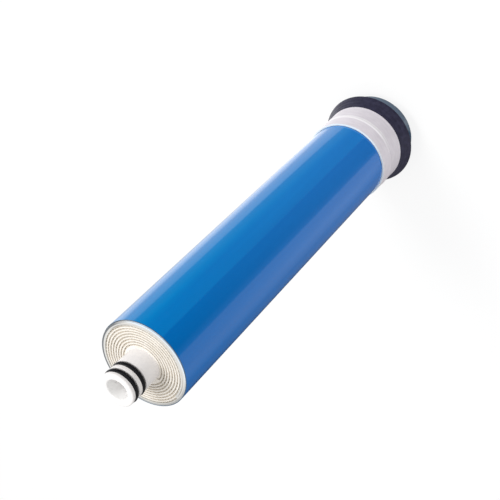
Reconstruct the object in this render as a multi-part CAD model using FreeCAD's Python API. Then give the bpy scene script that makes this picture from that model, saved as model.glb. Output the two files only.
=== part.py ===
import FreeCAD, Part
import math
import os

# A spiral-wound reverse osmosis element, in millimetres.
# Z runs up along the product tube: the feed end stands on Z = 0, the product end points up.

# The wound roll
roll_length = 235.0
roll_radius = 22.25
film_thickness = 0.35
least_wrap_thickness = 1.0
leaf_thickness = 0.66
spacer_thickness = 0.68
spacer_setback = 0.5
fold_gap = 0.3

# The product tube
tube_radius = 8.5
tube_wall = 3.2
stub_length = 19.0
blind_end_thickness = 5.0
tip_chamfer = 0.7
mouth_chamfer = 0.5

# The row of holes that lets the product water into the tube
drain_hole_radius = 0.8
drain_hole_pitch = 60.0
drain_margin = 30.0

# The two O-rings near the tip, which stand out from the tube to be squeezed in a socket
ring_thickness = 2.4
ring_bevel = 0.45
ring_stand_out = 0.32
ring_side_play = 0.2
front_ring_from_tip = 3.2
ring_pitch = 5.0

# The brine seal: a rubber ring on the roll with a lip that flares towards the feed end
seal_top = 17.7
seal_thickness = 1.13
lip_rim_height = 10.4
lip_reach = 4.48
lip_thickness = 1.1
lip_groove_depth = 4.2

# The collar of white tape that the seal bears against, wound in two laps
upper_lap_length = 9.2
lower_lap_length = 13.08
tape_thickness = 0.88
lap_step = 0.25
collar_bevel = 0.3

# Running gaps between pieces that lie on one another
layer_gap = 0.01
seat_gap = 0.02

# Worked out from the sizes above
tip_height = roll_length + stub_length
bore_radius = tube_radius - tube_wall
ring_radius = tube_radius + ring_stand_out
ring_groove_radius = ring_radius - ring_thickness - seat_gap
ring_groove_width = ring_thickness + 2 * ring_side_play
winding_start = tube_radius + layer_gap
winding_pitch = leaf_thickness + spacer_thickness + 2 * layer_gap
film_inner_radius = roll_radius - film_thickness
wrap_outer_radius = film_inner_radius - layer_gap
winding_limit = wrap_outer_radius - least_wrap_thickness - layer_gap
half_turns = math.floor((winding_limit - winding_start - winding_pitch) / (winding_pitch / 2))
seal_bore = roll_radius + seat_gap
seal_top_radius = seal_bore + seal_thickness
lip_rim_radius = seal_bore + lip_reach
upper_lap_radius = seal_bore + tape_thickness
lower_lap_radius = upper_lap_radius + lap_step
collar_bottom = seal_top + seat_gap
collar_lap_height = collar_bottom + lower_lap_length
collar_top = collar_lap_height + upper_lap_length

AXIS = FreeCAD.Vector(0, 0, 1)
ACROSS = FreeCAD.Vector(1, 0, 0)
ORIGIN = FreeCAD.Vector(0, 0, 0)


def flat(x, y):
    """A point in the plane of the roll's end."""
    return FreeCAD.Vector(x, y, 0)


def section(radius, height):
    """A point in the half plane that is turned about the tube's axis."""
    return FreeCAD.Vector(radius, 0, height)


def line(start, end):
    return Part.LineSegment(start, end).toShape()


def arc(start, middle, end):
    return Part.Arc(start, middle, end).toShape()


def turned_outline(points):
    """The solid that a closed outline of straight lines makes when it is turned about the tube's axis."""
    sides = [line(a, b) for a, b in zip(points, points[1:] + points[:1])]
    return Part.Face(Part.Wire(sides)).revolve(ORIGIN, AXIS, 360)


def raised(edges, bottom, top):
    """The upright prism of a closed outline in the plane of the roll's end."""
    face = Part.Face(Part.Wire(edges))
    face.translate(AXIS * bottom)
    return face.extrude(AXIS * (top - bottom))


def spiral_point(half_turn, offset, share):
    """A point on one half turn of the winding, from its start at share 0 to its end at share 1.

    Each half turn is half a circle. The centres of the circles alternate about the axis,
    so that the radius grows by half a pitch each time and the turns stay parallel.
    """
    side = 1 if half_turn % 2 == 0 else -1
    centre = side * winding_pitch / 4
    radius = winding_start + winding_pitch / 4 + half_turn * winding_pitch / 2 + offset
    angle = math.pi * share + (math.pi if side > 0 else 0)
    return flat(centre + radius * math.cos(angle), radius * math.sin(angle))


def spiral_arc(half_turn, offset, begin=0.0):
    return arc(
        spiral_point(half_turn, offset, begin),
        spiral_point(half_turn, offset, (begin + 1) / 2),
        spiral_point(half_turn, offset, 1),
    )


def spiral(offset, first, last, begin=0.0):
    """The half turns from first up to last, offset outwards from the winding's inner side."""
    arcs = [spiral_arc(first, offset, begin)]
    arcs += [spiral_arc(half_turn, offset) for half_turn in range(first + 1, last)]
    return arcs


def groove_centre(number):
    """The height of an O-ring's middle, with ring 0 nearest to the tip."""
    return tip_height - front_ring_from_tip - number * ring_pitch


def ring_groove(number):
    middle = groove_centre(number)
    bottom = middle - ring_groove_width / 2
    blank = Part.makeCylinder(tube_radius + 1, ring_groove_width, section(0, bottom), AXIS)
    core = Part.makeCylinder(ring_groove_radius, ring_groove_width, section(0, bottom), AXIS)
    return blank.cut(core)


def drain_holes():
    """A row of holes drilled into the bore under the winding."""
    count = math.floor((roll_length - 2 * drain_margin) / drain_hole_pitch) + 1
    first = (roll_length - (count - 1) * drain_hole_pitch) / 2
    depth = tube_radius + 1
    return [
        Part.makeCylinder(drain_hole_radius, depth, section(0, first + number * drain_hole_pitch), ACROSS)
        for number in range(count)
    ]


def permeate_tube():
    """A tube that is closed at the feed end and open at the product end."""
    body = turned_outline([
        section(0, 0),
        section(tube_radius, 0),
        section(tube_radius, tip_height - tip_chamfer),
        section(tube_radius - tip_chamfer, tip_height),
        section(bore_radius + mouth_chamfer, tip_height),
        section(bore_radius, tip_height - mouth_chamfer),
        section(bore_radius, blind_end_thickness),
        section(0, blind_end_thickness),
    ])
    return body.cut([ring_groove(0), ring_groove(1)] + drain_holes())


def o_ring(number):
    """A rubber ring that sits flat on the bottom of its groove, with its outer edge rounded off."""
    inner = ring_radius - ring_thickness
    outer = ring_radius
    bottom = groove_centre(number) - ring_thickness / 2
    top = bottom + ring_thickness
    return turned_outline([
        section(inner, bottom),
        section(outer - ring_bevel, bottom),
        section(outer, bottom + ring_bevel),
        section(outer, top - ring_bevel),
        section(outer - ring_bevel, top),
        section(inner, top),
    ])


def membrane_leaf():
    """The folded membrane with the carrier cloth glued in it, wound from the tube outwards.

    Its first turn closes on the tube. From there the leaf runs out as one strip,
    with room for the feed spacer between its turns.
    """
    last = half_turns
    outer = spiral(leaf_thickness, 0, last)
    inner = spiral(0, 2, last)
    end = line(spiral_point(last - 1, leaf_thickness, 1), spiral_point(last - 1, 0, 1))
    fold = line(spiral_point(2, 0, 0), spiral_point(0, leaf_thickness, 0))
    blank = raised(outer + [end] + inner[::-1] + [fold], 0, roll_length)
    return blank.cut(Part.makeCylinder(winding_start, roll_length))


def feed_spacer():
    """The net that keeps the turns of the leaf apart, from the fold to the outer end."""
    start = fold_gap / (math.pi * winding_start)
    inner_offset = leaf_thickness + layer_gap
    outer_offset = winding_pitch - layer_gap
    inner = spiral(inner_offset, 0, half_turns, start)
    outer = spiral(outer_offset, 0, half_turns, start)
    fold_edge = line(spiral_point(0, inner_offset, start), spiral_point(0, outer_offset, start))
    end = line(spiral_point(half_turns - 1, outer_offset, 1), spiral_point(half_turns - 1, inner_offset, 1))
    return raised([fold_edge] + outer + [end] + inner[::-1], spacer_setback, roll_length - spacer_setback)


def winding_hollow():
    """The room that the last turn takes, with the step where the winding ends."""
    last = half_turns
    high = spiral_point(last - 1, winding_pitch, 1)
    low = spiral_point(last - 2, winding_pitch, 0)
    past_end = flat(0, layer_gap if last % 2 else -layer_gap)
    edges = spiral(winding_pitch, last - 2, last)
    edges += [line(high, high + past_end), line(high + past_end, low + past_end), line(low + past_end, low)]
    return raised(edges, 0, roll_length)


def inner_wrap():
    """The white wrap that evens out the winding's step and makes the roll round."""
    return Part.makeCylinder(wrap_outer_radius, roll_length).cut(winding_hollow())


def outer_wrap():
    """The blue film around the roll."""
    return Part.makeCylinder(roll_radius, roll_length).cut(Part.makeCylinder(film_inner_radius, roll_length))


def brine_seal():
    """The rubber seal, which grips the roll with its bore and flares into a lip with a groove behind it."""
    root = section(seal_top_radius, seal_top)
    rim_outer = section(lip_rim_radius, lip_rim_height)
    along = (rim_outer - root).normalize()
    inwards = FreeCAD.Vector(along.z, 0, -along.x)
    rim_inner = rim_outer + inwards * lip_thickness
    groove_root = rim_inner - along * (lip_groove_depth / -along.z)
    return turned_outline([
        section(seal_bore, groove_root.z),
        section(seal_bore, seal_top),
        root,
        rim_outer,
        rim_inner,
        groove_root,
    ])


def seal_collar():
    """The tape collar, which steps down from its lower lap to its upper one."""
    return turned_outline([
        section(seal_bore, collar_bottom),
        section(lower_lap_radius, collar_bottom),
        section(lower_lap_radius, collar_lap_height),
        section(upper_lap_radius, collar_lap_height + collar_bevel),
        section(upper_lap_radius, collar_top),
        section(seal_bore, collar_top),
    ])


def main():
    os.makedirs("parts", exist_ok=True)
    pieces = {
        "permeate_tube": permeate_tube(),
        "o_ring_front": o_ring(0),
        "o_ring_rear": o_ring(1),
        "membrane_leaf": membrane_leaf(),
        "feed_spacer": feed_spacer(),
        "inner_wrap": inner_wrap(),
        "outer_wrap": outer_wrap(),
        "brine_seal": brine_seal(),
        "seal_collar": seal_collar(),
    }
    for name, shape in pieces.items():
        shape.exportStep("parts/" + name + ".step")


main()
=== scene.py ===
# %% [markdown]
# # A spiral-wound reverse osmosis element
#
# The element is a roll of membrane on a product tube. Water is pressed into the roll from its feed end,
# runs along a net between the turns, and what passes the membrane leaves through the tube.
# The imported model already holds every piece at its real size, so this lesson only dresses it:
# it models finer pieces in the same places, and gives each of them its finish.
#
# The part stands on its feed end. Its axis is the Z axis, and the stub with the two O-rings points up.

import math

import bpy
from mathutils import Matrix, Vector


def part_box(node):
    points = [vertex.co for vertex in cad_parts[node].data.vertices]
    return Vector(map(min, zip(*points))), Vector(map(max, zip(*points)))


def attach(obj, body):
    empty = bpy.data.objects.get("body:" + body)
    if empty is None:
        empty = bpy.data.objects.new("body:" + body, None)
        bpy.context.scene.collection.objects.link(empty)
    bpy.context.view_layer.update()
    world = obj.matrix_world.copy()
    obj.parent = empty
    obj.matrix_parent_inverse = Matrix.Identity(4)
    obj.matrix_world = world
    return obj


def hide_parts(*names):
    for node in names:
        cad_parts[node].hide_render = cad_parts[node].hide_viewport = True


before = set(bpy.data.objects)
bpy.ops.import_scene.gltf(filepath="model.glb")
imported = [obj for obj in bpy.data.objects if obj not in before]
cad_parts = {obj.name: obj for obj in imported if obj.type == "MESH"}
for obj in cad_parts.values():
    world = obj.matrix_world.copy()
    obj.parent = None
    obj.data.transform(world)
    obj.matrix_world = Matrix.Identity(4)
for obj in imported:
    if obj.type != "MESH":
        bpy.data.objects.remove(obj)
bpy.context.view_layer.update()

# %% [markdown]
# ## Sizes
#
# Most sizes are read from the frame, so that a finer piece fits where the plain one was.
# A node's points know how far they are from the axis, which gives bores and outer radii.
# The sizes that can't be read so easily, and those of the finish, are named where they are first used.

# %% Measure the frame
MM = 0.001
FULL_TURN = 2 * math.pi
HALF_TURN = math.pi
SAME_PLACE = 0.01 * MM


def radii(node, low=-1.0, high=1.0):
    """The smallest and largest distance from the axis of a node's points between two heights."""
    points = [v.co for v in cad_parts[node].data.vertices if low <= v.co.z <= high]
    distances = [math.hypot(p.x, p.y) for p in points]
    return min(distances), max(distances)


def heights(node):
    low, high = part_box(node)
    return low.z, high.z


tip_height = heights("permeate_tube")[1]
roll_length = heights("membrane_leaf")[1]
tube_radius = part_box("permeate_tube")[1].x
bore_radius = radii("permeate_tube", low=roll_length)[0]
film_inner_radius, roll_radius = radii("outer_wrap")
print("tip and roll end at", round(tip_height / MM, 2), "and", round(roll_length / MM, 2), "mm")
print("radii of tube and bore", round(tube_radius / MM, 3), "and", round(bore_radius / MM, 3), "mm")
print("radii of the film", round(film_inner_radius / MM, 3), "and", round(roll_radius / MM, 3), "mm")

# %% [markdown]
# ## Helpers for modelling
#
# Most of the pieces are turned: a closed outline is spun about the axis. The outline starts as a circle
# primitive with one corner for each point, and its corners are put in place. Corners are then rounded
# with a vertex bevel, as the real edges are never sharp, and the outline is spun with the Spin tool.

# %% Helpers for modelling
weld_distance = 0.001 * MM


def work_on(piece):
    """Makes piece the one selected and active object."""
    bpy.ops.object.select_all(action="DESELECT")
    piece.select_set(True)
    bpy.context.view_layer.objects.active = piece


def select_points(piece, wanted):
    """Selects in edit mode the points of piece whose place wanted says yes to, and counts them."""
    bpy.ops.object.mode_set(mode="EDIT")
    bpy.ops.mesh.select_mode(type="VERT")
    bpy.ops.mesh.select_all(action="DESELECT")
    bpy.ops.object.mode_set(mode="OBJECT")
    chosen = 0
    for vertex in piece.data.vertices:
        vertex.select = bool(wanted(vertex.co))
        chosen += vertex.select
    bpy.ops.object.mode_set(mode="EDIT")
    return chosen


def outline(name, points):
    """A closed outline in the half plane beside the axis, from (radius, height) points."""
    bpy.ops.object.select_all(action="DESELECT")
    bpy.ops.mesh.primitive_circle_add(vertices=len(points), radius=tube_radius)
    piece = bpy.context.object
    piece.name = name
    for vertex, (radius, height) in zip(piece.data.vertices, points):
        vertex.co = (radius, 0, height)
    return piece


def round_corners(piece, corners, size, segments=3):
    """Rounds the outline's corners that lie at the given (radius, height) points."""
    places = [Vector((radius, 0, height)) for radius, height in corners]
    select_points(piece, lambda co: any((co - place).length < SAME_PLACE for place in places))
    bpy.ops.mesh.bevel(affect="VERTICES", offset=size, offset_type="OFFSET", segments=segments)
    bpy.ops.object.mode_set(mode="OBJECT")


def close_surface(piece):
    """Merges the seam of a spun mesh, drops its empty faces and turns the others outwards."""
    bpy.ops.object.mode_set(mode="EDIT")
    bpy.ops.mesh.select_all(action="SELECT")
    bpy.ops.mesh.remove_doubles(threshold=weld_distance)
    bpy.ops.mesh.dissolve_degenerate(threshold=weld_distance / 2)
    bpy.ops.mesh.select_all(action="SELECT")
    bpy.ops.mesh.normals_make_consistent(inside=False)
    bpy.ops.object.mode_set(mode="OBJECT")


def turn(piece, steps=128):
    """Spins the whole outline once about the axis."""
    work_on(piece)
    bpy.ops.object.mode_set(mode="EDIT")
    bpy.ops.mesh.select_all(action="SELECT")
    bpy.ops.mesh.spin(steps=steps, angle=FULL_TURN, center=(0, 0, 0), axis=(0, 0, 1))
    bpy.ops.object.mode_set(mode="OBJECT")
    close_surface(piece)


def finish_piece(piece, node, material, crease=35):
    """Smooths the piece between its edges, puts it in the place of its node and paints it."""
    work_on(piece)
    bpy.ops.object.shade_smooth_by_angle(angle=math.radians(crease))
    piece.data.materials.clear()
    piece.data.materials.append(material)
    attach(piece, "root")
    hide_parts(node)
    loose = sum(len(edge_faces) != 2 for edge_faces in faces_of_edges(piece).values())
    print(piece.name, "has", len(piece.data.polygons), "faces and", loose, "open edges")


def faces_of_edges(piece):
    """The faces that meet at each edge of piece."""
    found = {edge.key: [] for edge in piece.data.edges}
    for polygon in piece.data.polygons:
        for key in polygon.edge_keys:
            found[key].append(polygon.index)
    return found


# %% [markdown]
# ## Helpers for materials
#
# Each finish is a Principled shader. A value that is the same all over the surface is set on the shader's
# own socket. What varies is worked out from Object coordinates, which stay with the piece when the camera
# moves. Noise gives the small unevenness that tells moulded plastic, tape and rubber from a flat colour.

# %% Helpers for materials
BLACK = (0, 0, 0)
WHITE = (1, 1, 1)


def new_material(name, roughness, specular=0.5):
    material = bpy.data.materials.new(name)
    material.use_nodes = True
    shader = material.node_tree.nodes["Principled BSDF"]
    shader.inputs["Roughness"].default_value = roughness
    shader.inputs["Specular IOR Level"].default_value = specular
    return material, material.node_tree, shader


def place_on_piece(tree, stretch=(1, 1, 1)):
    """Object coordinates, stretched along the axes where a grain runs one way."""
    coordinates = tree.nodes.new("ShaderNodeTexCoord")
    mapping = tree.nodes.new("ShaderNodeMapping")
    mapping.inputs["Scale"].default_value = stretch
    tree.links.new(coordinates.outputs["Object"], mapping.inputs["Vector"])
    return mapping.outputs["Vector"]


def noise(tree, place, size, detail=3.0):
    """Noise whose patches are about size metres wide."""
    texture = tree.nodes.new("ShaderNodeTexNoise")
    texture.inputs["Scale"].default_value = 1 / size
    texture.inputs["Detail"].default_value = detail
    tree.links.new(place, texture.inputs["Vector"])
    return texture.outputs["Fac"]


def between(tree, value, low, high, from_low=0.3, from_high=0.7):
    """Maps the range from_low to from_high onto low to high. Most noise lies between 0.3 and 0.7."""
    node = tree.nodes.new("ShaderNodeMapRange")
    node.inputs["From Min"].default_value = from_low
    node.inputs["From Max"].default_value = from_high
    node.inputs["To Min"].default_value = low
    node.inputs["To Max"].default_value = high
    tree.links.new(value, node.inputs["Value"])
    return node.outputs["Result"]


def ramp(tree, value, stops):
    """A colour for each value, from (position, colour) stops."""
    node = tree.nodes.new("ShaderNodeValToRGB")
    elements = node.color_ramp.elements
    while len(elements) < len(stops):
        elements.new(0.5)
    for element, (position, colour) in zip(elements, stops):
        element.position = position
        element.color = (*colour, 1)
    tree.links.new(value, node.inputs["Fac"])
    return node.outputs["Color"]


def axis_of_piece(tree, axis):
    """One of the object coordinates, in metres. Z is the height above the feed end."""
    axes = tree.nodes.new("ShaderNodeSeparateXYZ")
    tree.links.new(place_on_piece(tree), axes.inputs["Vector"])
    return axes.outputs[axis]


def height_on_piece(tree):
    return axis_of_piece(tree, "Z")


def distance_from_axis(tree):
    """How far a point is from the Z axis, in metres."""
    length = tree.nodes.new("ShaderNodeVectorMath")
    length.operation = "LENGTH"
    tree.links.new(place_on_piece(tree, stretch=(1, 1, 0)), length.inputs[0])
    return length.outputs["Value"]


def direction_on_piece(tree):
    """The direction of a point from the Z axis: 0 at -180 degrees, 1 at 180 degrees."""
    gradient = tree.nodes.new("ShaderNodeTexGradient")
    gradient.gradient_type = "RADIAL"
    tree.links.new(place_on_piece(tree), gradient.inputs["Vector"])
    return gradient.outputs["Fac"]


def ramp_by_direction(tree, colours):
    """A colour for each direction from the Z axis, from (degrees, colour) stops."""
    stops = [(0.5 + degrees / 360, colour) for degrees, colour in colours]
    return ramp(tree, direction_on_piece(tree), stops)


def side_share(tree, low, high):
    """0 where y is low and 1 where it is high, or the other way round if low is the larger."""
    return between(tree, axis_of_piece(tree, "Y"), 0, 1, low, high)


def grey(tone):
    """A colour without any hue."""
    return (tone, tone, tone)


def mix(tree, share, first, second):
    """A colour between two others. Each may be a colour or the output of a node."""
    node = tree.nodes.new("ShaderNodeMix")
    node.data_type = "RGBA"
    tree.links.new(share, node.inputs["Factor"])
    for name, colour in (("A", first), ("B", second)):
        socket = next(s for s in node.inputs if s.name == name and s.type == "RGBA")
        if isinstance(colour, tuple):
            socket.default_value = (*colour, 1)
        else:
            tree.links.new(colour, socket)
    return next(s for s in node.outputs if s.type == "RGBA")


def both(tree, first, second):
    """The product of two shares, which is 1 only where both of them are."""
    node = tree.nodes.new("ShaderNodeMath")
    node.operation = "MULTIPLY"
    tree.links.new(first, node.inputs[0])
    tree.links.new(second, node.inputs[1])
    return node.outputs["Value"]


def bump(tree, shader, height, depth):
    """Gives the shader bumps that follow height and are about depth metres deep."""
    node = tree.nodes.new("ShaderNodeBump")
    node.inputs["Distance"].default_value = depth
    tree.links.new(height, node.inputs["Height"])
    tree.links.new(node.outputs["Normal"], shader.inputs["Normal"])


# %% [markdown]
# ## The product tube
#
# The tube is injection moulded from white plastic. Its stub stands out of the roll, with two grooves
# for the O-rings near the tip and an open mouth. The far end is closed. As it is round all over, one
# outline gives it: up the outside with the grooves, over the tip, down the bore to the closed end.
# The outline ends on the axis twice, so the edge along the axis is left out before the spin.
# The bore is painted a lighter white than the outside, as painted light in the bore.

# %% White moulded plastic
shaded_white = (0.88, 0.85, 0.84)
moulded_white = (0.91, 0.88, 0.87)
# painted light: the bore's white is painted lighter than the outside
painted_bore_light = (0.99, 0.98, 0.97)
bore_light_fade = (bore_radius + 0.1 * MM, bore_radius + 0.7 * MM)


def white_plastic():
    material, tree, shader = new_material("white_plastic", 0.32)
    place = place_on_piece(tree)
    clouds = noise(tree, place, 6 * MM)
    colour = ramp(tree, clouds, [(0.3, shaded_white), (0.7, moulded_white)])
    # painted light in the bore
    bore_light_share = between(tree, distance_from_axis(tree), 1, 0, *bore_light_fade)
    tree.links.new(mix(tree, bore_light_share, colour, painted_bore_light), shader.inputs["Base Color"])
    tree.links.new(between(tree, noise(tree, place, 1.5 * MM), 0.26, 0.38), shader.inputs["Roughness"])
    bump(tree, shader, noise(tree, place, 0.8 * MM), 0.01 * MM)
    return material


# %% Product tube
groove_side_play = 0.2 * MM
seat_gap = 0.02 * MM
blind_end_thickness = 5 * MM
tip_round = 0.7 * MM
mouth_round = 0.8 * MM
groove_round = 0.15 * MM


def groove_outline(ring_node):
    """The four corners of a ring's groove, from the tip downwards."""
    low, high = heights(ring_node)
    floor = radii(ring_node)[0] - seat_gap
    bottom = low - groove_side_play
    top = high + groove_side_play
    return [(tube_radius, top), (floor, top), (floor, bottom), (tube_radius, bottom)]


def product_tube():
    front_groove = groove_outline("o_ring_front")
    rear_groove = groove_outline("o_ring_rear")
    tip_corner = (tube_radius, tip_height)
    mouth_corner = (bore_radius, tip_height)
    foot_corner = (tube_radius, 0)
    points = [(0, blind_end_thickness), (bore_radius, blind_end_thickness), mouth_corner, tip_corner]
    points += front_groove + rear_groove + [foot_corner, (0, 0)]
    piece = outline("product_tube", points)
    select_points(piece, lambda co: co.x == 0)
    bpy.ops.mesh.select_mode(type="EDGE")
    bpy.ops.mesh.delete(type="EDGE_FACE")
    bpy.ops.object.mode_set(mode="OBJECT")
    round_corners(piece, [tip_corner], tip_round, segments=5)
    round_corners(piece, [mouth_corner], mouth_round, segments=4)
    round_corners(piece, [foot_corner], groove_round)
    round_corners(piece, front_groove + rear_groove, groove_round, segments=2)
    turn(piece)
    return piece


tube = product_tube()

# %% [markdown]
# The water that passes the membrane enters the tube through a row of small holes under the winding.
# They are drilled with a Boolean: the drill bits are small cylinders, which are deleted afterwards.

# %% Drain holes
drain_hole_radius = 0.8 * MM
drain_hole_pitch = 60 * MM
drain_hole_count = 3


def drill_bits():
    """Three cylinders through the wall on the +X side, joined into one object."""
    first = (roll_length - (drain_hole_count - 1) * drain_hole_pitch) / 2
    wall_middle = (bore_radius + tube_radius) / 2
    bits = []
    for number in range(drain_hole_count):
        bpy.ops.object.select_all(action="DESELECT")
        bpy.ops.mesh.primitive_cylinder_add(
            vertices=24,
            radius=drain_hole_radius,
            depth=2 * (tube_radius - bore_radius),
            location=(wall_middle, 0, first + number * drain_hole_pitch),
            rotation=(0, math.pi / 2, 0),
        )
        bits.append(bpy.context.object)
    work_on(bits[0])
    for bit in bits:
        bit.select_set(True)
    bpy.ops.object.join()
    return bits[0]


def drill(piece, tool):
    cut = piece.modifiers.new("drill", "BOOLEAN")
    cut.operation = "DIFFERENCE"
    cut.solver = "EXACT"
    cut.object = tool
    work_on(piece)
    bpy.ops.object.modifier_apply(modifier=cut.name)
    bpy.data.objects.remove(tool)


drill(tube, drill_bits())
finish_piece(tube, "permeate_tube", white_plastic())

# %% [markdown]
# ## The O-rings
#
# An O-ring is a round cord of rubber closed into a ring. Where the two halves of its mould met, a fine
# flash line runs round the outside. The section is nearly a circle, a little taller than it is wide,
# with one corner pulled out by a few hundredths of a millimetre. The Spin tool turns it about the axis.

# %% Black rubber
roughness_spread = 0.06


def rubber(name, colour, roughness, grain, specular=0.2):
    material, tree, shader = new_material(name, roughness, specular)
    place = place_on_piece(tree)
    dust = noise(tree, place, 2.5 * MM, detail=5)
    paler = tuple(1.5 * part + 0.004 for part in colour)
    tree.links.new(ramp(tree, dust, [(0.4, colour), (0.75, paler)]), shader.inputs["Base Color"])
    smoothest = roughness - roughness_spread
    roughest = roughness + roughness_spread
    rough = between(tree, noise(tree, place, 1.2 * MM), smoothest, roughest)
    tree.links.new(rough, shader.inputs["Roughness"])
    bump(tree, shader, noise(tree, place, grain), 0.015 * MM)
    return material


# %% O-rings
flash_height = 0.04 * MM
ring_corners = 32
ring_swell = 1.1


def o_ring(name, node, material):
    low, high = heights(node)
    inner = radii(node)[0]
    wire_radius = (high - low) / 2
    middle_radius = inner + wire_radius
    middle_height = low + wire_radius
    points = []
    for corner in range(ring_corners):
        angle = FULL_TURN * corner / ring_corners
        out = wire_radius - (flash_height if corner else 0)
        rise = out * math.sin(angle) * ring_swell
        points.append((middle_radius + out * math.cos(angle), middle_height + rise))
    piece = outline(name, points)
    turn(piece, steps=96)
    finish_piece(piece, node, material, crease=60)


ring_rubber = rubber("ring_rubber", (0.004, 0.004, 0.006), 0.2, 0.4 * MM, specular=0.14)
o_ring("front_ring", "o_ring_front", ring_rubber)
o_ring("rear_ring", "o_ring_rear", ring_rubber)

# %% [markdown]
# ## The wound leaf
#
# The leaf is a sandwich: two sheets of membrane with a carrier cloth glued between them. Wound on the
# tube it makes a spiral, and its cut edges are what the roll's ends show. Here the spiral is made as in
# the frame: each half turn is half a circle, and the circles' centres alternate about the axis, so that
# the radius grows by half a pitch each time and the turns stay parallel. The Spin tool does exactly
# this. It is used once for each half turn, and each time it goes on from the end of the last.
#
# The section of the leaf is a tall, thin outline. At both ends the cloth lies a little lower than the
# two membranes, which gives each turn its pair of fine cream edges.

# %% The spiral
leaf_thickness = 0.66 * MM
spacer_thickness = 0.68 * MM
layer_gap = 0.01 * MM
winding_pitch = leaf_thickness + spacer_thickness + 2 * layer_gap
winding_start = radii("membrane_leaf")[0]
half_turns = 16
steps_per_half_turn = 32


def half_turn_centre(number):
    side = 1 if number % 2 == 0 else -1
    return Vector((side * winding_pitch / 4, 0, 0))


def spiral_frame(number, share, offset):
    """The place on a half turn of the spiral, and the direction away from that half turn's centre."""
    angle = HALF_TURN * share + (HALF_TURN if number % 2 == 0 else 0)
    outward = Vector((math.cos(angle), math.sin(angle), 0))
    radius = winding_start + winding_pitch / 4 + number * winding_pitch / 2 + offset
    return half_turn_centre(number) + outward * radius, outward


def wind_strip(name, section, first, last):
    """Winds a strip with the given (offset, height) section round the half turns from first up to last."""
    start = spiral_frame(first, 0, 0)[0].x
    sign = -1 if start < 0 else 1
    piece = outline(name, [(start + sign * offset, height) for offset, height in section])
    work_on(piece)
    bpy.ops.object.mode_set(mode="EDIT")
    bpy.ops.mesh.select_all(action="SELECT")
    for number in range(first, last):
        centre = half_turn_centre(number)
        bpy.ops.mesh.spin(steps=steps_per_half_turn, angle=-HALF_TURN, center=centre, axis=(0, 0, 1))
    bpy.ops.mesh.select_all(action="DESELECT")
    bpy.ops.mesh.select_mode(type="EDGE")
    bpy.ops.mesh.select_non_manifold(extend=False)
    bpy.ops.mesh.edge_face_add()
    bpy.ops.object.mode_set(mode="OBJECT")
    close_surface(piece)
    return piece


winding_end = spiral_frame(half_turns - 1, 1, leaf_thickness)[0]
print("the winding ends", round(winding_end.length / MM, 2), "mm from the axis")

# %% Cream membrane
cream_shades = [(0.3, (0.84, 0.79, 0.71)), (0.5, (0.88, 0.83, 0.76)), (0.7, (0.91, 0.87, 0.81))]


def cream_membrane():
    material, tree, shader = new_material("cream_membrane", 0.62)
    place = place_on_piece(tree)
    patches = noise(tree, place, 4 * MM, detail=4)
    tree.links.new(ramp(tree, patches, cream_shades), shader.inputs["Base Color"])
    bump(tree, shader, noise(tree, place, 0.25 * MM, detail=4), 0.03 * MM)
    return material


# %% Wound leaf
membrane_thickness = 0.17 * MM
membrane_round = 0.05 * MM
cloth_recess = 0.05 * MM


def leaf_section():
    """The leaf's section, from its inner membrane's foot up and down again outside."""
    inside = membrane_thickness
    outside = leaf_thickness - membrane_thickness
    rising = [(0, 1), (membrane_round, 0), (inside - membrane_round, 0), (inside, 1)]
    top = [(offset, roll_length - drop * membrane_round) for offset, drop in rising]
    top += [(inside, roll_length - cloth_recess), (outside, roll_length - cloth_recess)]
    top += [(leaf_thickness - offset, height) for offset, height in top[3::-1]]
    bottom = [(offset, roll_length - height) for offset, height in reversed(top)]
    return top + bottom


def close_on_tube(piece):
    """Pulls the inner membrane of the first turn onto the tube, where the real one is glued."""
    for vertex in piece.data.vertices:
        number = 0 if vertex.co.y < 0 else 1
        flat_place = Vector((vertex.co.x, vertex.co.y, 0))
        radius = (flat_place - half_turn_centre(number)).length
        offset = radius - winding_start - winding_pitch / 4 - number * winding_pitch / 2
        if offset < membrane_thickness + layer_gap:
            shrink = (winding_start + max(offset, 0)) / flat_place.length
            vertex.co.x *= shrink
            vertex.co.y *= shrink


leaf = wind_strip("wound_leaf", leaf_section(), 0, half_turns)
close_on_tube(leaf)
close_surface(leaf)
finish_piece(leaf, "membrane_leaf", cream_membrane())

# %% [markdown]
# ## The feed spacer
#
# The spacer is a net of two layers of plastic strands that cross each other. Wound into the leaf, it
# keeps the turns apart, and at the roll's ends its cut strands show as dots between the cream edges.
# Deep in the roll nobody sees the net, so there it is a strip, wound like the leaf. Near both ends
# single strands stand a little out of it: one is modelled, and copies of it are set along the spiral,
# leaning one way in the inner layer and the other way in the outer one. The net's colour is painted
# paler on the side near the camera, as painted light between the turns.

# %% Natural plastic of the net
net_shades = [(0.3, (0.66, 0.61, 0.53)), (0.7, (0.80, 0.75, 0.66))]
# painted light: the net is paler on the side near the camera
painted_light_net = (0.95, 0.92, 0.86)
painted_light_net_side = (-8 * MM, -16 * MM)


def net_plastic():
    material, tree, shader = new_material("net_plastic", 0.5)
    place = place_on_piece(tree)
    patches = noise(tree, place, 3 * MM)
    # painted light on the near side
    painted_light_share = side_share(tree, *painted_light_net_side)
    colour = mix(tree, painted_light_share, ramp(tree, patches, net_shades), painted_light_net)
    tree.links.new(colour, shader.inputs["Base Color"])
    bump(tree, shader, noise(tree, place, 0.3 * MM), 0.02 * MM)
    return material


# %% Feed spacer
spacer_low, spacer_high = heights("feed_spacer")
strand_length = 1.0 * MM
strand_gap = 2.0 * MM
strand_lean = math.radians(28)
strand_radius = spacer_thickness / 4
strand_rise = 0.25 * MM
strand_end_size = 0.85
strip_drop = 0.35 * MM
strip_section = [
    (leaf_thickness + layer_gap, spacer_low + strip_drop),
    (leaf_thickness + layer_gap, spacer_high - strip_drop),
    (winding_pitch - layer_gap, spacer_high - strip_drop),
    (winding_pitch - layer_gap, spacer_low + strip_drop),
]


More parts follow.
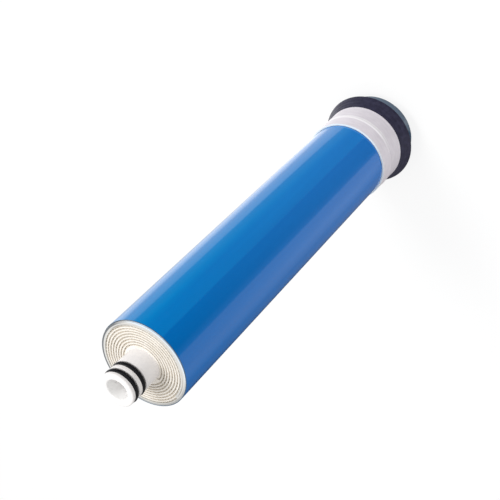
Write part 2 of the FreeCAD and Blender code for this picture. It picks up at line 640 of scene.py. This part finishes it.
def strand():
    """One strand end, with its cut end a little narrower than the rest."""
    bpy.ops.object.select_all(action="DESELECT")
    bpy.ops.mesh.primitive_cylinder_add(vertices=6, radius=strand_radius, depth=strand_length)
    piece = bpy.context.object
    piece.name = "strand"
    select_points(piece, lambda co: co.z > 0)
    narrower = (strand_end_size, strand_end_size, 1)
    bpy.ops.transform.resize(value=narrower, center_override=(0, 0, strand_length / 2))
    bpy.ops.object.mode_set(mode="OBJECT")
    return piece


def strand_places(offset, shift):
    """Places along the spiral, strand_gap apart, with the way the winding runs there."""
    along = shift
    for number in range(half_turns):
        radius = (spiral_frame(number, 0, offset)[0] - half_turn_centre(number)).length
        length = HALF_TURN * radius
        while along < length:
            place, outward = spiral_frame(number, along / length, offset)
            yield place, outward
            along += strand_gap
        along -= length


def set_strands(pattern):
    """Copies of the strand at both ends of the roll, in two layers."""
    copies = []
    inner_layer = leaf_thickness + layer_gap + strand_radius
    for layer in range(2):
        offset = inner_layer + layer * 2 * strand_radius
        lean = strand_lean if layer else -strand_lean
        for place, outward in strand_places(offset, (layer + 1) * strand_gap / 2):
            for height, up in ((spacer_high + strand_rise, 1), (spacer_low - strand_rise, -1)):
                middle = place + Vector((0, 0, height - up * strand_length / 2))
                turned = Matrix.Rotation(lean, 4, outward) @ Matrix.Diagonal((1, 1, up, 1))
                mesh = pattern.data.copy()
                mesh.transform(Matrix.Translation(middle) @ turned)
                if up < 0:
                    mesh.flip_normals()
                copy = bpy.data.objects.new("strand", mesh)
                bpy.context.collection.objects.link(copy)
                copies.append(copy)
    return copies


def spacer_net():
    piece = wind_strip("spacer_net", strip_section, 0, half_turns)
    pattern = strand()
    strands = set_strands(pattern)
    bpy.data.objects.remove(pattern)
    work_on(piece)
    for copy in strands:
        copy.select_set(True)
    bpy.ops.object.join()
    print("strand ends:", len(strands))
    return piece


net = spacer_net()
finish_piece(net, "feed_spacer", net_plastic())

# %% [markdown]
# ## The inner wrap
#
# White tape goes round the winding before the film, and evens out the step where the leaf ends. Its
# solid from the frame has the right shape, so it stays as it is and only gets a finish. The roll's end
# shows a grey line between two turns of the tape, a dark ring near the film, and a bluish rim painted
# on as painted light where light comes through the film. None of them runs all the way round, so each has its
# own side.

# %% White wrap
wrap_inner = 19 * MM
pale_tape = (0.67, 0.66, 0.63)
# painted light: a bluish glow at the rim, where light comes through the film
painted_glow_rim = (0.74, 0.85, 0.96)
tape_line = (0.34, 0.32, 0.29)
dark_ring_colour = (0.14, 0.15, 0.16)
painted_glow_side = (-11 * MM, -17 * MM)
line_begin = (-17 * MM, -7 * MM)
line_end = (0, -4 * MM)
dark_ring_side = (-13 * MM, -5 * MM)
faintest_dark_ring = 0.45
full_dark_ring_side = (-12 * MM, 2 * MM)


def white_wrap():
    """Pale tape with a line, a dark ring and a rim of painted light. The ramps run from wrap_inner to the
    film.
    """
    material, tree, shader = new_material("white_wrap", 0.45)
    share = between(tree, distance_from_axis(tree), 0, 1, wrap_inner, film_inner_radius)
    # painted light at the rim, on the side near the camera
    at_painted_glow = ramp(tree, share, [(0.78, BLACK), (0.88, WHITE)])
    ground = mix(tree, both(tree, at_painted_glow, side_share(tree, *painted_glow_side)), pale_tape, painted_glow_rim)
    at_line = ramp(tree, share, [(0.34, BLACK), (0.42, WHITE), (0.5, WHITE), (0.58, BLACK)])
    line_share = both(tree, side_share(tree, *line_begin), side_share(tree, *line_end))
    lined = mix(tree, both(tree, at_line, line_share), ground, tape_line)
    near_film = ramp(tree, share, [(0.66, BLACK), (0.74, WHITE)])
    dark_ring_strength = between(tree, axis_of_piece(tree, "X"), faintest_dark_ring, 1, *full_dark_ring_side)
    at_dark_ring = both(tree, both(tree, near_film, side_share(tree, *dark_ring_side)), dark_ring_strength)
    tree.links.new(mix(tree, at_dark_ring, lined, dark_ring_colour), shader.inputs["Base Color"])
    bump(tree, shader, noise(tree, place_on_piece(tree), 0.3 * MM), 0.02 * MM)
    return material


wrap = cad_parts["inner_wrap"]
wrap.data.materials.clear()
wrap.data.materials.append(white_wrap())
print("inner wrap keeps its", len(wrap.data.polygons), "faces")

# %% [markdown]
# ## The film
#
# A glossy blue film is wound tightly round the roll, about one and a half times. Where it lies double
# its blue is deeper, and its outer end makes a fine step along the whole roll. The piece starts as a
# cylinder. Its ends are inset and bridged into a tube, cuts with Bisect mark the ends of the single
# layer, and the faces between the cuts are drawn in by the thickness of one layer. At the product end
# the film is cut at a slant: on one side its edge lies almost a millimetre below the roll's face, and on
# the other it is level with it.
#
# The colour gets paler towards the feed end. The cut edge is darker, a line of painted shadow runs along
# the top of the collar, and the part below the seal is a darker grey-blue.

# %% Blue film
film_layer = 0.08 * MM
film_seam = math.radians(-84.3)
film_start = math.radians(102)
film_setback = 0.35 * MM
film_skew = 0.6 * MM
skew_side = math.radians(-20)
seam_width = math.radians(0.25)
cut_edge = 0.15 * MM
seam_blend = 0.1
side_blue = (0.0015, 0.188, 0.63)
deep_blue = (0.0015, 0.180, 0.575)
light_blue = (0.003, 0.222, 0.63)
# painted light: the film's blue is paler towards the key lamp
painted_lamp_side_blue = (0.004, 0.268, 0.66)
# the film's colour turns paler towards the feed end
feed_end_blue = (0.045, 0.26, 0.83)
most_feed_end_blue = 0.25
full_feed_end_height = 0.3 * roll_length
streak_blue = (0.0, 0.09, 0.40)
most_streak = 0.16
# the cut edge's darker blue, also used for the painted shadow along the collar
cut_edge_and_shadow_blue = (0.05, 0.11, 0.18)
collar_shadow_strength = 0.7
# a darker grey-blue for the film below the seal
below_seal_blue = (0.055, 0.115, 0.20)


def below_cut(tree, height):
    """How far a point lies below the film's slanted cut edge.

    The first map adds the setback, and as it is clamped, the result never goes below 0.
    The second turns a height into a depth below the roll's face.
    """
    slope = film_skew / roll_radius
    across = tree.nodes.new("ShaderNodeVectorMath")
    across.operation = "DOT_PRODUCT"
    across.inputs[1].default_value = (slope * math.cos(skew_side), slope * math.sin(skew_side), 0)
    tree.links.new(place_on_piece(tree), across.inputs[0])
    setback = between(tree, across.outputs["Value"], 0, 3 * film_setback, -film_setback, 2 * film_setback)
    cut = tree.nodes.new("ShaderNodeMath")
    cut.operation = "ADD"
    tree.links.new(setback, cut.inputs[0])
    tree.links.new(height, cut.inputs[1])
    return between(tree, cut.outputs["Value"], roll_length, 0, 0, roll_length)


def film_blues(tree):
    """The blue by direction: deeper where the film is double, and painted paler towards the side of the key
    lamp as painted light.
    """
    seam = math.degrees(film_seam)
    start = math.degrees(film_start)
    blues = [(-180, side_blue), (-115, side_blue), (-106, deep_blue), (seam - seam_blend, deep_blue)]
    blues += [(seam + seam_blend, light_blue), (-66, light_blue), (-54, painted_lamp_side_blue), (40, light_blue)]
    blues += [(start - seam_blend, light_blue), (start + seam_blend, side_blue)]
    return ramp_by_direction(tree, blues)


def blue_film():
    material, tree, shader = new_material("blue_film", 0.1)
    shader.inputs["IOR"].default_value = 1.5
    height = height_on_piece(tree)
    streaks = noise(tree, place_on_piece(tree, stretch=(1, 1, 0.03)), 3 * MM)
    layers = mix(tree, between(tree, streaks, most_streak, 0), film_blues(tree), streak_blue)
    toward_feed_end = between(tree, height, 0, most_feed_end_blue, roll_length, full_feed_end_height)
    layers = mix(tree, toward_feed_end, layers, feed_end_blue)
    at_edge = between(tree, below_cut(tree, height), 1, 0, cut_edge, 1.2 * cut_edge)
    collar_top = heights("seal_collar")[1]
    seal_foot = heights("brine_seal")[0]
    # painted shadow: a dark line on the film where the collar starts
    at_collar_shadow = between(tree, height, 0, collar_shadow_strength, collar_top + 0.5 * MM, collar_top + 0.2 * MM)
    below_seal_share = between(tree, height, 0, 1, seal_foot + 0.3 * MM, seal_foot)
    with_below_seal = mix(tree, below_seal_share, mix(tree, at_collar_shadow, layers, cut_edge_and_shadow_blue), below_seal_blue)
    tree.links.new(mix(tree, at_edge, with_below_seal, cut_edge_and_shadow_blue), shader.inputs["Base Color"])
    long_grain = place_on_piece(tree, stretch=(1, 1, 0.15))
    tree.links.new(between(tree, noise(tree, long_grain, 5 * MM), 0.04, 0.08), shader.inputs["Roughness"])
    bump(tree, shader, noise(tree, long_grain, 9 * MM), 0.012 * MM)
    return material


# %% Film round the roll


def in_single_layer(co):
    """Whether a point of the film's outside lies where the film is single."""
    angle = math.atan2(co.y, co.x)
    outside = math.hypot(co.x, co.y) > (film_inner_radius + roll_radius) / 2
    return outside and film_seam + seam_width / 2 < angle < film_start - seam_width / 2


def film_tube():
    thickness = roll_radius - film_inner_radius
    bpy.ops.object.select_all(action="DESELECT")
    bpy.ops.mesh.primitive_cylinder_add(
        vertices=256, radius=roll_radius, depth=roll_length, location=(0, 0, roll_length / 2)
    )
    piece = bpy.context.object
    piece.name = "film"
    bpy.ops.object.transform_apply(location=True)
    bpy.ops.object.mode_set(mode="EDIT")
    bpy.ops.mesh.select_mode(type="FACE")
    bpy.ops.mesh.select_all(action="DESELECT")
    bpy.ops.object.mode_set(mode="OBJECT")
    for polygon in piece.data.polygons:
        polygon.select = abs(polygon.normal.z) > 0.5
    bpy.ops.object.mode_set(mode="EDIT")
    bpy.ops.mesh.inset(thickness=thickness)
    bpy.ops.mesh.bridge_edge_loops()
    for angle in (film_seam, film_seam + seam_width, film_start):
        bpy.ops.mesh.select_all(action="SELECT")
        across = (-math.sin(angle), math.cos(angle), 0)
        bpy.ops.mesh.bisect(plane_co=(0, 0, 0), plane_no=across)
    select_points(piece, in_single_layer)
    drawn_in = 1 - film_layer / roll_radius
    bpy.ops.transform.resize(value=(drawn_in, drawn_in, 1), center_override=(0, 0, 0))
    bpy.ops.object.mode_set(mode="OBJECT")
    for vertex in piece.data.vertices:
        if vertex.co.z > roll_length / 2:
            angle = math.atan2(vertex.co.y, vertex.co.x)
            vertex.co.z -= max(0, film_setback + film_skew * math.cos(angle - skew_side))
    close_surface(piece)
    return piece


film = film_tube()
finish_piece(film, "outer_wrap", blue_film(), crease=30)

# %% [markdown]
# ## The tape collar
#
# Near the feed end a white tape is wound round the film, in two laps that overlap a little. The brine
# seal bears against it. The outline has a small bead where the upper lap ends on the lower one, and
# every edge is rounded, because the tape is soft. A painted highlight makes the tape paler round the bead on
# the +X side, and along its top and bottom edges.

# %% Collar tape
collar_low, collar_high = heights("seal_collar")
collar_inner, lower_lap = radii("seal_collar")
upper_lap = radii("seal_collar", low=collar_high - 1 * MM)[1]
lap_points = [v.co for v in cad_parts["seal_collar"].data.vertices if v.co.z > collar_low + 1 * MM]
lap_edge = min(p.z for p in lap_points if abs(math.hypot(p.x, p.y) - lower_lap) < SAME_PLACE)
print("lower lap ends", round(lap_edge / MM, 2), "mm above the feed end")

tape_shades = [(0.3, (0.80, 0.75, 0.81)), (0.7, (0.88, 0.83, 0.885))]
# painted highlights: round the bead, at the foot and along the top edge
painted_lap_highlight = (1.0, 0.97, 1.0)
painted_foot_highlight = (0.92, 0.89, 0.94)
painted_top_edge_highlight = (0.86, 0.93, 0.97)
lap_highlight_side = (-14 * MM, -2 * MM)


def collar_tape():
    material, tree, shader = new_material("collar_tape", 0.38)
    around = place_on_piece(tree, stretch=(0.35, 0.35, 1))
    streaks = noise(tree, around, 1.6 * MM, detail=4)
    colour = ramp(tree, streaks, tape_shades)
    height = height_on_piece(tree)
    at_edge = between(tree, height, 0, 1, collar_high - 0.45 * MM, collar_high - 0.3 * MM)
    # painted highlights along the bottom and top edges and round the bead on the lit side
    at_foot_highlight = between(tree, height, 0, 1, collar_low + 0.6 * MM, collar_low + 0.4 * MM)
    at_lap = between(tree, height, 0, 1, lap_edge - 2.7 * MM, lap_edge - 2.1 * MM)
    past_lap = between(tree, height, 1, 0, lap_edge + 0.2 * MM, lap_edge + 0.8 * MM)
    at_lap_highlight_side = between(tree, axis_of_piece(tree, "X"), 0, 1, *lap_highlight_side)
    with_lap_highlight = mix(tree, both(tree, both(tree, at_lap, past_lap), at_lap_highlight_side), colour, painted_lap_highlight)
    with_foot_highlight = mix(tree, at_foot_highlight, with_lap_highlight, painted_foot_highlight)
    tree.links.new(mix(tree, at_edge, with_foot_highlight, painted_top_edge_highlight), shader.inputs["Base Color"])
    bump(tree, shader, noise(tree, around, 3 * MM), 0.05 * MM)
    return material


# %% Collar
lap_bead = 0.16 * MM
edge_round = 0.16 * MM
foot_height = 0.8 * MM
foot_slope = 0.8 * MM
bead_height = 0.5 * MM
bead_slope = 0.5 * MM
lap_slope = 0.75 * MM
bead_top = lap_edge - 0.3 * MM


def tape_collar():
    """The outline: a foot, a waist, the bead, and the slope down to the upper lap."""
    waist = lower_lap - lap_bead
    foot_top = collar_low + foot_height
    bead_foot = bead_top - bead_height
    points = [(collar_inner, collar_low), (lower_lap, collar_low)]
    points += [(lower_lap, foot_top), (waist, foot_top + foot_slope)]
    points += [(waist, bead_foot - bead_slope), (lower_lap, bead_foot)]
    points += [(lower_lap, bead_top), (upper_lap, bead_top + lap_slope)]
    points += [(upper_lap, collar_high), (collar_inner, collar_high)]
    piece = outline("tape_collar", points)
    round_corners(piece, [points[1], points[-2]], edge_round, segments=4)
    round_corners(piece, points[2:8], edge_round, segments=3)
    turn(piece, steps=192)
    return piece


collar = tape_collar()
finish_piece(collar, "seal_collar", collar_tape(), crease=40)

# %% [markdown]
# ## The brine seal
#
# The seal is a rubber ring that grips the roll. Its lip flares towards the feed end, so that the feed
# pressure opens it against the wall of its housing. The rubber is moulded, so its rim is round, and two
# shallow grooves run round the flare. All of that is in one outline.

# %% Brine seal
groove_places = (0.28, 0.55)
groove_half_width = 0.25 * MM
groove_depth = 0.06 * MM
top_round = 0.3 * MM
rim_round = 0.18 * MM
lip_round = 0.4 * MM


def lip_seal():
    """The outline follows the solid's own: the bore, the top, the flare, the rim and the groove behind it."""
    inner, rim_radius = radii("brine_seal")
    low, high = heights("brine_seal")
    top_radius = radii("brine_seal", low=high - 0.1 * MM)[1]
    solid = [(math.hypot(v.co.x, v.co.y), v.co.z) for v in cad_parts["brine_seal"].data.vertices]
    rim_height = min(height for radius, height in solid if radius > rim_radius - SAME_PLACE)
    groove_top = min(height for radius, height in solid if radius < inner + SAME_PLACE)
    groove_radius = radii("brine_seal", low=groove_top - SAME_PLACE, high=groove_top + SAME_PLACE)[1]
    rim_inner = radii("brine_seal", low=low, high=low + SAME_PLACE)[0]
    print("seal rim", round(rim_radius / MM, 2), "mm from the axis,", round(rim_height / MM, 2), "mm up")
    print("groove", round(groove_radius / MM, 2), "mm from the axis,", round(groove_top / MM, 2), "mm up")
    top = (top_radius, high)
    rim = (rim_radius, rim_height)
    points = [(inner, groove_top), (inner, high), top]
    flare = Vector(rim) - Vector(top)
    inward = Vector((flare.y, -flare.x)).normalized()
    step = flare.normalized() * groove_half_width
    for share in groove_places:
        middle = Vector(top) + flare * share
        points += [tuple(middle - step), tuple(middle + inward * groove_depth), tuple(middle + step)]
    points += [rim, (rim_inner, low), (groove_radius, groove_top)]
    piece = outline("lip_seal", points)
    round_corners(piece, [top], top_round, segments=4)
    round_corners(piece, [rim], rim_round, segments=4)
    round_corners(piece, [(rim_inner, low)], lip_round, segments=5)
    turn(piece, steps=192)
    return piece


seal_rubber = rubber("seal_rubber", (0.024, 0.023, 0.048), 0.42, 0.5 * MM)
seal = lip_seal()
finish_piece(seal, "brine_seal", seal_rubber, crease=40)

# %% [markdown]
# ## Floor, world and lights
#
# The part stands on a pale floor in a white room. The floor and the world are white for the camera and in
# reflections, and the floor still takes the part's shadow. Two soft lamps shine from the part's +X side,
# which is the upper left of the picture: the key lamp from half way up, the other nearly from above.
#
# The film is so glossy that it shows what stands round it. A round card lies on the floor, seen only in
# reflections, with a tone for each direction from its middle. Its edges give the film long, sharp bands.

# %% Floor and world
floor_size = 6.0
floor_white = 0.68
floor_white_seen = 0.17
floor_own_light = 0.84
room_strength = 0.73


def seen_directly(tree):
    """1 for camera rays, reflections and rays through glass, 0 for the rays that carry light."""
    path = tree.nodes.new("ShaderNodeLightPath")
    seen = path.outputs["Is Camera Ray"]
    for ray in ("Is Glossy Ray", "Is Transmission Ray"):
        either = tree.nodes.new("ShaderNodeMath")
        either.operation = "MAXIMUM"
        tree.links.new(seen, either.inputs[0])
        tree.links.new(path.outputs[ray], either.inputs[1])
        seen = either.outputs["Value"]
    return seen


def floor_material():
    """A matt white floor, part of whose white is its own light, so that its shadows stay faint."""
    material, tree, shader = new_material("floor", 0.9, specular=0)
    shader.inputs["Emission Color"].default_value = (1, 1, 1, 1)
    seen = seen_directly(tree)
    white = mix(tree, seen, grey(floor_white), grey(floor_white_seen))
    tree.links.new(white, shader.inputs["Base Color"])
    tree.links.new(between(tree, seen, 0, floor_own_light, 0, 1), shader.inputs["Emission Strength"])
    return material


bpy.ops.object.select_all(action="DESELECT")
bpy.ops.mesh.primitive_plane_add(size=floor_size)
floor = bpy.context.object
floor.name = "floor"
floor.data.materials.append(floor_material())

world = bpy.data.worlds.new("studio")
world.use_nodes = True
bpy.context.scene.world = world
background = world.node_tree.nodes["Background"]
background.inputs["Color"].default_value = (1, 1, 1, 1)
room_light = between(world.node_tree, seen_directly(world.node_tree), room_strength, 1, 0, 1)
world.node_tree.links.new(room_light, background.inputs["Strength"])
print("floor", floor_size, "m wide")

# %% Lamps and reflected card
part_middle = Vector((0, 0, roll_length / 2))
lamp_distance = 1.3
key_direction = Vector((0.64, -0.14, 0.75))
key_size = 0.4
key_power = 4.0
top_direction = Vector((0.28, -0.10, 0.95))
top_size = 0.24
top_power = 4.2
card_radius = 2.8
card_middle = Vector((-14.0, -26.0, 0.3)) * MM
window_tone = 1.5
white_tone = 0.9
grey_tone = 0.7
dim_tone = 0.2
black_tone = 0
near_glow = 0.1
glow_near, glow_far = 0.07, 0.26


def lamp(name, direction, size, power):
    """A soft square lamp that is aimed at the middle of the part."""
    data = bpy.data.lights.new(name, "AREA")
    data.shape = "SQUARE"
    data.size = size
    data.energy = power
    light = bpy.data.objects.new(name, data)
    light.location = part_middle + direction.normalized() * lamp_distance
    light.rotation_euler = (-direction).to_track_quat("-Z", "Y").to_euler()
    light.visible_camera = False
    bpy.context.collection.objects.link(light)
    return light


def reflected_card():
    """A round card on the floor. Its middle lies where the edges of the film's bands lead to."""
    bpy.ops.object.select_all(action="DESELECT")
    bpy.ops.mesh.primitive_circle_add(vertices=96, radius=card_radius, fill_type="NGON")
    card = bpy.context.object
    card.name = "reflected_card"
    card.location = card_middle
    card.visible_camera = False
    card.visible_diffuse = False
    card.visible_shadow = False
    return card


def card_shades():
    """The card's tone by direction from its middle, and a faint glow that it all has near the part."""
    material, tree, shader = new_material("card_shades", 1.0, specular=0)
    shader.inputs["Base Color"].default_value = (0, 0, 0, 1)
    shader.inputs["Emission Color"].default_value = (1, 1, 1, 1)
    tones = [(-180, grey_tone), (-137, grey_tone), (-133, dim_tone), (-115, black_tone), (-20, black_tone)]
    tones += [(2, dim_tone), (5, white_tone), (28, white_tone), (35, window_tone), (50, window_tone)]
    tones += [(62, white_tone), (90, grey_tone), (94, black_tone), (150, dim_tone), (180, grey_tone)]
    by_direction = ramp_by_direction(tree, [(angle, grey(tone / window_tone)) for angle, tone in tones])
    distance = distance_from_axis(tree)
    glow = between(tree, distance, near_glow / window_tone, 0, glow_near, glow_far)
    total = tree.nodes.new("ShaderNodeMath")
    total.operation = "ADD"
    tree.links.new(by_direction, total.inputs[0])
    tree.links.new(glow, total.inputs[1])
    strength = between(tree, total.outputs["Value"], 0, window_tone, 0, 1)
    tree.links.new(strength, shader.inputs["Emission Strength"])
    return material


key = lamp("key", key_direction, key_size, key_power)
lamp("top_light", top_direction, top_size, top_power)
card = reflected_card()
card.data.materials.append(card_shades())
print("key lamp at", [round(part, 2) for part in key.location])

# %% [markdown]
# ## Camera
#
# The photograph was taken from above the product end, a little over half a metre away, and the picture is
# turned so that the part runs from the lower left to the upper right. The camera's place and aim were
# fitted to the rims of the roll and the stub, which are circles and show as ellipses.

# %% Camera
camera_place = Vector((0, -370.55, 502.21)) * MM
camera_aim = Vector((2.58, 0, 141.25)) * MM
camera_roll = math.radians(-134.7)
camera_lens = 75.79

camera_data = bpy.data.cameras.new("camera")
camera_data.lens = camera_lens
camera_data.sensor_width = 36
camera_data.clip_start = 0.01
camera = bpy.data.objects.new("camera", camera_data)
bpy.context.collection.objects.link(camera)
look = (camera_aim - camera_place).to_track_quat("-Z", "Y").to_matrix()
camera.rotation_euler = (look @ Matrix.Rotation(camera_roll, 3, "Z")).to_euler()
camera.location = camera_place
bpy.context.scene.camera = camera

bpy.context.scene.view_settings.view_transform = "Standard"
print("camera", round((camera_aim - camera_place).length, 3), "m from the middle of the part")
